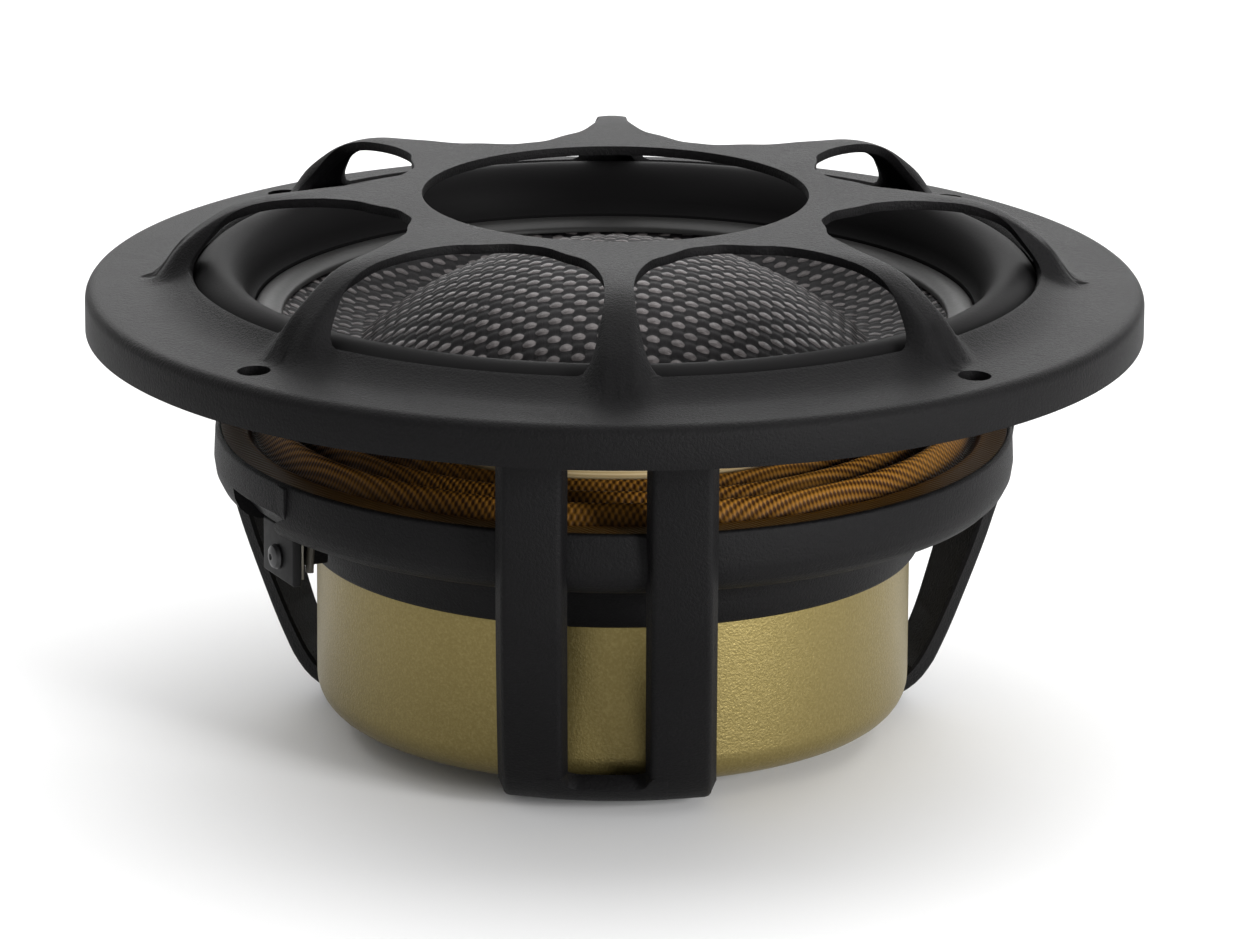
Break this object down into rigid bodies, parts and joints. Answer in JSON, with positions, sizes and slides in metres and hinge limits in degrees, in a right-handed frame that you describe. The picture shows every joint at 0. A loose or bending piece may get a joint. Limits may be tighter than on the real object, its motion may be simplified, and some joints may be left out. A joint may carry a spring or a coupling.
{
  "type": "mid-bass car speaker",
  "caption": "Mid-bass driver for a car door with a spoked cast grille, woven dome diaphragm, cast basket with paired legs and a round motor can.",
  "frame": {"origin": "on the cone's axis at the underside of the base, on which the driver stands", "axes": "+Z along the cone's axis towards the grille; -Y towards the front pair of legs; +X to its right"},
  "size_m": [0.17, 0.17, 0.0886],
  "materials": {
    "black_casting": "fine-textured satin black powder coat on cast aluminium",
    "rubber_surround": "satin moulded rubber",
    "edge_ring_paint": "satin black coated ring",
    "woven_fibre": "coarse plain weave of grey fibre under glossy clear resin",
    "spider_cloth": "resin-dipped amber woven cloth",
    "coil_former_fibre": "pale glass-fibre laminate",
    "copper": "enamelled copper wire and sleeve",
    "gold_can": "champagne-gold metallic paint, finely blasted",
    "plated_steel": "zinc-plated steel",
    "magnet_ferrite": "ground ferrite",
    "board_plastic": "black phenolic board",
    "tinned_brass": "tin-plated brass"
  },
  "bodies": {
    "frame": {"grille": "black_casting", "basket": "black_casting", "motor_can": "gold_can", "main_magnet": "magnet_ferrite", "shorting_ring": "copper", "pole_plate": "plated_steel", "front_magnet": "plated_steel", "vent_screen": "tinned_brass", "motor_screw_1": "plated_steel", "motor_screw_2": "plated_steel", "motor_screw_3": "plated_steel", "surround": "rubber_surround", "spider": "spider_cloth", "terminal_board": "board_plastic", "terminal_rivet": "tinned_brass", "terminal_positive": "tinned_brass", "terminal_negative": "tinned_brass", "lead_positive": "tinned_brass", "lead_negative": "tinned_brass"},
    "cone": {"diaphragm": "woven_fibre", "edge_ring": "edge_ring_paint", "coil_former": "coil_former_fibre", "voice_coil": "copper"}
  },
  "joints": [
    {"name": "cone_slide", "type": "slide", "parent": "frame", "child": "cone", "axis": [0, 0, 1], "range_m": [-0.005, 0.005], "stiffness_N_per_m": 1500, "deforming": ["surround", "spider", "lead_positive", "lead_negative"]}
  ]
}
